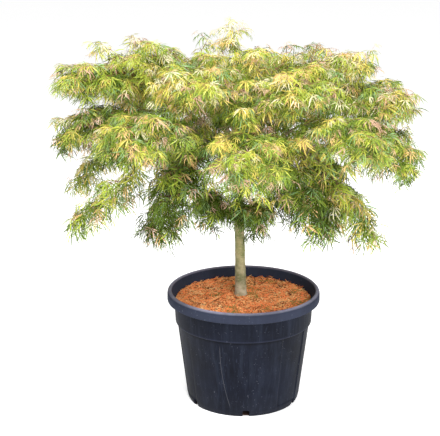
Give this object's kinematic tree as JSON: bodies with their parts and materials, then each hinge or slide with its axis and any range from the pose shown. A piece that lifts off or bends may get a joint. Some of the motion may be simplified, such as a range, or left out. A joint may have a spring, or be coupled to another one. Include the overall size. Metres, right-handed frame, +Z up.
{
  "type": "potted japanese maple",
  "caption": "Grafted cut-leaf Japanese maple with a straight bare stem and a wide weeping umbrella crown, in a round nursery pot.",
  "frame": {"origin": "middle of the flat underside of the pot, on the ground", "axes": "+Z up along the stem, +X to the plant's right and +Y to its back, as it is seen from the front"},
  "size_m": [1.3392, 1.2595, 1.4304],
  "materials": {
    "pot": "satin blue-black moulded plastic, dusty, with a paler rubbed lip",
    "mulch": "coarse orange-brown bark and coir over growing medium",
    "bark": "smooth olive-green bark, greyer at the foot, with fine level rings",
    "bough_bark": "smooth young bark, brown turning olive",
    "leaves_crown": "thin leaves, yellow-green with gold, orange and pink tints",
    "leaves_shoulder": "thin leaves, fresh yellow-green with gold tips",
    "leaves_skirt": "thin leaves, mid green",
    "leaves_inner": "thin leaves, deep green"
  },
  "bodies": {
    "root": {"pot": "pot", "mulch": "mulch", "trunk": "bark", "bough_crown_top": "bough_bark", "foliage_crown_top": "leaves_crown", "bough_crown_right": "bough_bark", "foliage_crown_right": "leaves_crown", "bough_crown_back_right": "bough_bark", "foliage_crown_back_right": "leaves_crown", "bough_crown_back_left": "bough_bark", "foliage_crown_back_left": "leaves_crown", "bough_crown_left": "bough_bark", "foliage_crown_left": "leaves_crown", "bough_crown_front_left": "bough_bark", "foliage_crown_front_left": "leaves_crown", "bough_crown_front_right": "bough_bark", "foliage_crown_front_right": "leaves_crown", "bough_shoulder_right": "bough_bark", "foliage_shoulder_right": "leaves_shoulder", "bough_shoulder_back_right": "bough_bark", "foliage_shoulder_back_right": "leaves_shoulder", "bough_shoulder_back": "bough_bark", "foliage_shoulder_back": "leaves_shoulder", "bough_shoulder_back_left": "bough_bark", "foliage_shoulder_back_left": "leaves_shoulder", "bough_shoulder_left": "bough_bark", "foliage_shoulder_left": "leaves_shoulder", "bough_shoulder_front_left": "bough_bark", "foliage_shoulder_front_left": "leaves_shoulder", "bough_shoulder_front": "bough_bark", "foliage_shoulder_front": "leaves_shoulder", "bough_shoulder_front_right": "bough_bark", "foliage_shoulder_front_right": "leaves_shoulder", "bough_shoulder_right_low": "bough_bark", "foliage_shoulder_right_low": "leaves_shoulder", "bough_shoulder_left_low": "bough_bark", "foliage_shoulder_left_low": "leaves_shoulder", "bough_skirt_right_low": "bough_bark", "foliage_skirt_right_low": "leaves_skirt", "bough_skirt_back_right": "bough_bark", "foliage_skirt_back_right": "leaves_skirt", "bough_skirt_back": "bough_bark", "foliage_skirt_back": "leaves_skirt", "bough_skirt_back_left": "bough_bark", "foliage_skirt_back_left": "leaves_skirt", "bough_skirt_left_back": "bough_bark", "foliage_skirt_left_back": "leaves_skirt", "bough_skirt_left_low": "bough_bark", "foliage_skirt_left_low": "leaves_skirt", "bough_skirt_front_left": "bough_bark", "foliage_skirt_front_left": "leaves_skirt", "bough_skirt_front_right": "bough_bark", "foliage_skirt_front_right": "leaves_skirt", "bough_inner_left": "bough_bark", "foliage_inner_left": "leaves_inner", "bough_inner_right": "bough_bark", "foliage_inner_right": "leaves_inner"}
  },
  "joints": []
}
